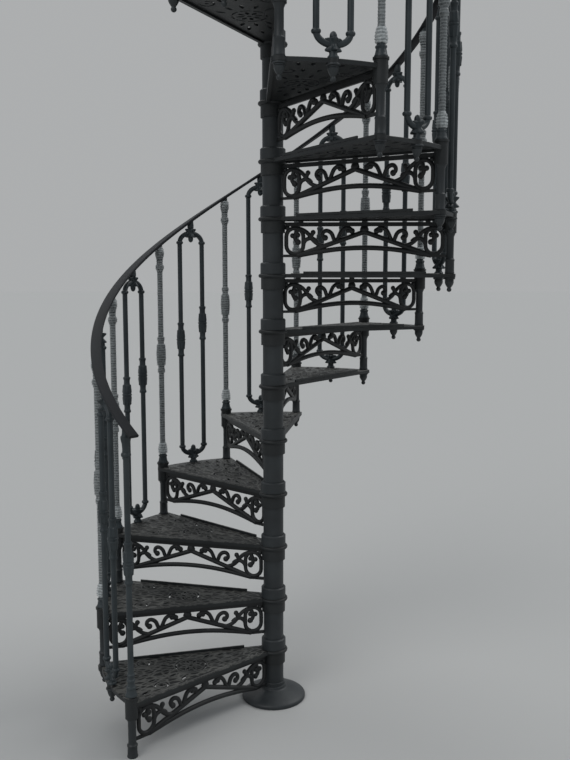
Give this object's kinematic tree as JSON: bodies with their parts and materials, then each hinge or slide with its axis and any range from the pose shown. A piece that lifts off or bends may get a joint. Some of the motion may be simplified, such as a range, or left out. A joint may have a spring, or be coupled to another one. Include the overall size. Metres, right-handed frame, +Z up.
{
  "type": "spiral staircase",
  "caption": "Cast-iron spiral staircase with pierced pie-shaped treads, filigree risers, turned and looped balusters and a helical handrail.",
  "frame": {"origin": "centre of the underside of the column's foot, on the floor", "axes": "+Z up along the column; -Y towards the side it is usually seen from; the flight climbs clockwise as seen from above"},
  "size_m": [1.37, 1.3702, 3.8138],
  "materials": {
    "cast_iron": "satin black paint on cast iron",
    "rail_iron": "satin black paint on rolled bar"
  },
  "bodies": {
    "root": {"base_plate": "cast_iron", "centre_pole": "cast_iron", "column_sleeves": "cast_iron", "column_top": "cast_iron", "tread_01": "cast_iron", "tread_02": "cast_iron", "tread_03": "cast_iron", "tread_04": "cast_iron", "tread_05": "cast_iron", "tread_06": "cast_iron", "tread_07": "cast_iron", "tread_08": "cast_iron", "tread_09": "cast_iron", "tread_10": "cast_iron", "tread_11": "cast_iron", "tread_12": "cast_iron", "landing": "cast_iron", "landing_bearer": "rail_iron", "riser_01": "cast_iron", "riser_02": "cast_iron", "riser_03": "cast_iron", "riser_04": "cast_iron", "riser_05": "cast_iron", "riser_06": "cast_iron", "riser_07": "cast_iron", "riser_08": "cast_iron", "riser_09": "cast_iron", "riser_10": "cast_iron", "riser_11": "cast_iron", "riser_12": "cast_iron", "riser_13": "cast_iron", "floor_post": "cast_iron", "corner_posts": "cast_iron", "corner_nuts": "cast_iron", "loop_nuts": "cast_iron", "corner_balusters": "cast_iron", "loop_balusters": "cast_iron", "handrail": "rail_iron", "guard_balusters": "cast_iron", "guard_rail": "rail_iron"}
  },
  "joints": []
}
